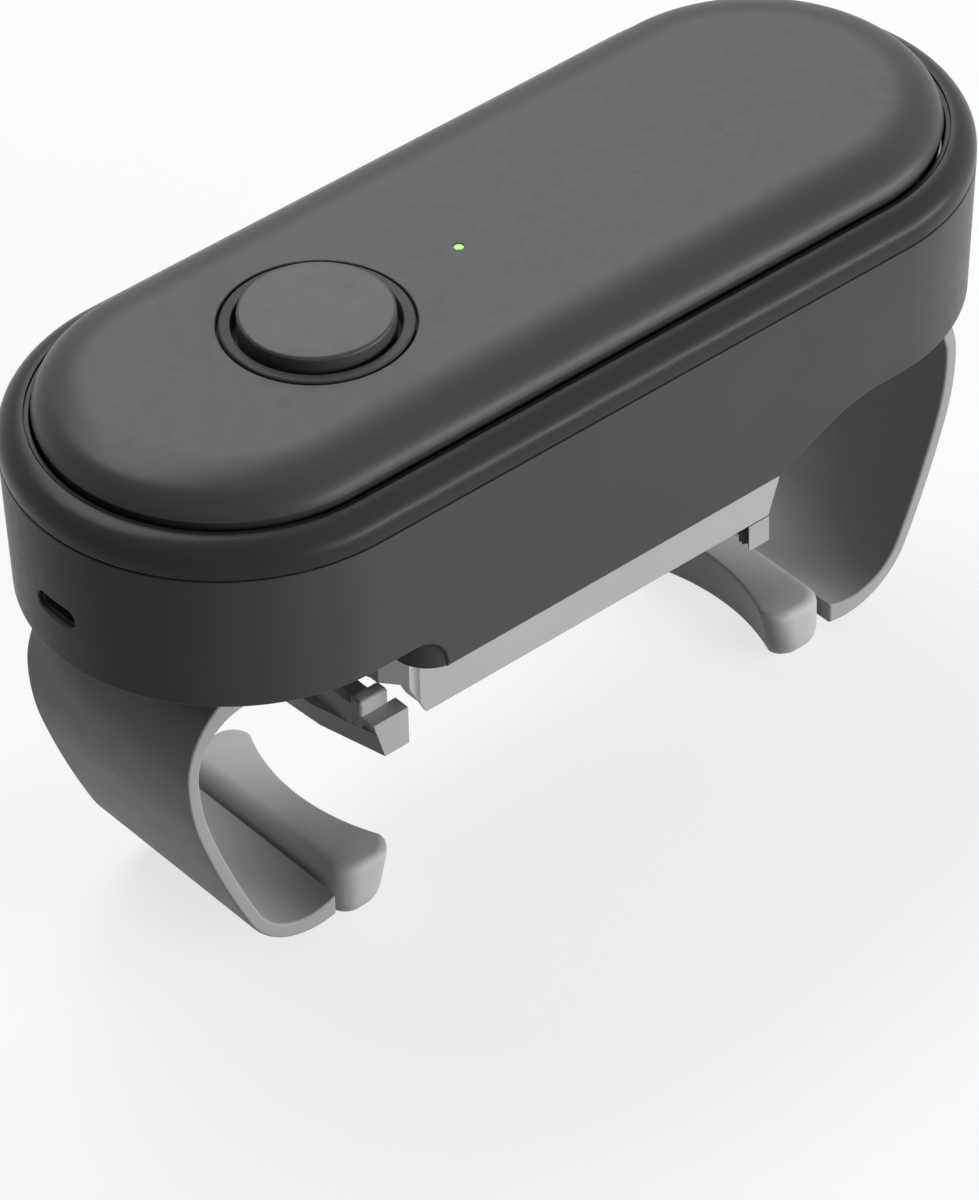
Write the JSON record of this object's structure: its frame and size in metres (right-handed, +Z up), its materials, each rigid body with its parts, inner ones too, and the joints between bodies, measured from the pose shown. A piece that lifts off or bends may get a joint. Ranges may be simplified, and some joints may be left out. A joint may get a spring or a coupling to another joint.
{
  "type": "electric jar opener",
  "caption": "Battery jar opener: a long dark casing with a round button, two curved arms that close on the jar and a turning clamp whose jaws grip the lid.",
  "frame": {"origin": "on the table under the spindle's axis, level with the undersides of the two jar pads", "axes": "+X along the casing towards its far end from the button, -Y towards the pictured side, +Z up"},
  "size_m": [0.1924, 0.076, 0.1129],
  "materials": {
    "casing_plastic": "satin charcoal plastic",
    "cover_plastic": "satin charcoal plastic",
    "button_plastic": "satin dark grey plastic",
    "clamp_plastic": "satin light grey plastic",
    "arm_plastic": "satin mid grey plastic",
    "pad_rubber": "matt light grey rubber",
    "grip_rubber": "matt dark rubber",
    "nylon": "natural nylon",
    "steel": "machined steel",
    "brass": "sintered bronze and brass",
    "light_lens": "green-lit clear plastic",
    "board": "green solder mask",
    "cell_sleeve": "shrink-sleeved can",
    "lead_plastic": "PVC-covered lead"
  },
  "bodies": {
    "casing": {"lower_casing": "casing_plastic", "upper_casing": "casing_plastic", "top_cover": "cover_plastic", "base_plate": "casing_plastic", "casing_screws": "steel", "base_screws": "steel", "control_bezel": "casing_plastic", "button_spring": "steel", "tact_switch": "steel", "light_window": "light_lens", "status_led": "light_lens", "circuit_board": "board", "board_screws": "steel", "charging_board": "board", "charging_socket": "steel", "battery_cradle": "nylon", "battery_cell_near": "cell_sleeve", "battery_cell_far": "cell_sleeve", "battery_leads": "lead_plastic", "motor_leads": "lead_plastic", "motor": "steel", "first_axle": "steel", "second_axle": "steel", "third_axle": "steel", "lower_gear_plate": "nylon", "upper_gear_plate": "nylon", "plate_screws": "steel", "spindle_bush": "brass"},
    "button": {"button_cap": "button_plastic", "switch_plunger": "button_plastic"},
    "rotor": {"motor_shaft": "steel", "motor_pinion": "brass"},
    "first_wheel": {"first_gear": "nylon"},
    "second_wheel": {"second_gear": "nylon"},
    "third_wheel": {"third_gear": "nylon"},
    "carrier": {"output_gear": "nylon", "spindle": "steel", "spindle_clip": "steel", "thrust_washer": "nylon", "clamp_housing": "clamp_plastic", "clamp_cover": "clamp_plastic", "pressure_pad": "grip_rubber", "clamp_screws": "steel", "lid_pinion_pin": "steel"},
    "lid_wheel": {"lid_pinion": "steel"},
    "jaw_left": {"left_jaw": "arm_plastic", "left_jaw_grip": "grip_rubber"},
    "jaw_right": {"right_jaw": "arm_plastic", "right_jaw_grip": "grip_rubber"},
    "arm_wheel": {"arm_pinion": "nylon"},
    "arm_left": {"left_arm": "arm_plastic", "left_rack": "steel", "left_arm_screws": "steel", "left_arm_pad": "pad_rubber"},
    "arm_right": {"right_arm": "arm_plastic", "right_rack": "steel", "right_arm_screws": "steel", "right_arm_pad": "pad_rubber"}
  },
  "joints": [
    {"name": "button_press", "type": "slide", "parent": "casing", "child": "button", "axis": [0, 0, -1], "range_m": [0, 0.001], "stiffness_N_per_m": 400, "springref_m": -0.002, "deforming": ["button_spring"]},
    {"name": "carrier_turn", "type": "hinge", "parent": "casing", "child": "carrier", "pos_m": [0, 0, 0.05], "axis": [0, 0, 1], "continuous": true},
    {"name": "third_gear_spin", "type": "hinge", "parent": "casing", "child": "third_wheel", "pos_m": [0.0375, 0, 0.08], "axis": [0, 0, 1], "continuous": true},
    {"name": "second_gear_spin", "type": "hinge", "parent": "casing", "child": "second_wheel", "pos_m": [0.05228, 0.01762, 0.08], "axis": [0, 0, 1], "continuous": true},
    {"name": "first_gear_spin", "type": "hinge", "parent": "casing", "child": "first_wheel", "pos_m": [0.06108, -0.00034, 0.08], "axis": [0, 0, 1], "continuous": true},
    {"name": "motor_spin", "type": "hinge", "parent": "casing", "child": "rotor", "pos_m": [0.07399, -0.01201, 0.08], "axis": [0, 0, 1], "continuous": true},
    {"name": "left_arm_slide", "type": "slide", "parent": "casing", "child": "arm_left", "axis": [-1, 0, 0], "range_m": [-0.022, 0.006]},
    {"name": "right_arm_slide", "type": "slide", "parent": "casing", "child": "arm_right", "axis": [1, 0, 0], "range_m": [-0.022, 0.006]},
    {"name": "arm_pinion_spin", "type": "hinge", "parent": "casing", "child": "arm_wheel", "pos_m": [0, 0, 0.065], "axis": [0, 0, 1], "range_deg": [-105.1, 28.7]},
    {"name": "left_jaw_slide", "type": "slide", "parent": "carrier", "child": "jaw_left", "axis": [-1, 0, 0], "range_m": [-0.022, 0.004]},
    {"name": "right_jaw_slide", "type": "slide", "parent": "carrier", "child": "jaw_right", "axis": [1, 0, 0], "range_m": [-0.022, 0.004]},
    {"name": "lid_pinion_spin", "type": "hinge", "parent": "carrier", "child": "lid_wheel", "pos_m": [0, 0, 0.047], "axis": [0, 0, 1], "range_deg": [-126.1, 23]}
  ],
  "couplings": [
    {"joint": "third_gear_spin", "follows": "carrier_turn", "ratio": -4},
    {"joint": "second_gear_spin", "follows": "carrier_turn", "ratio": 14.4},
    {"joint": "first_gear_spin", "follows": "carrier_turn", "ratio": -57.6},
    {"joint": "motor_spin", "follows": "carrier_turn", "ratio": 276.48},
    {"joint": "right_arm_slide", "follows": "left_arm_slide", "ratio": 1},
    {"joint": "arm_pinion_spin", "follows": "left_arm_slide", "rad_per_m": 83.333},
    {"joint": "right_jaw_slide", "follows": "left_jaw_slide", "ratio": 1},
    {"joint": "lid_pinion_spin", "follows": "left_jaw_slide", "rad_per_m": 100}
  ]
}
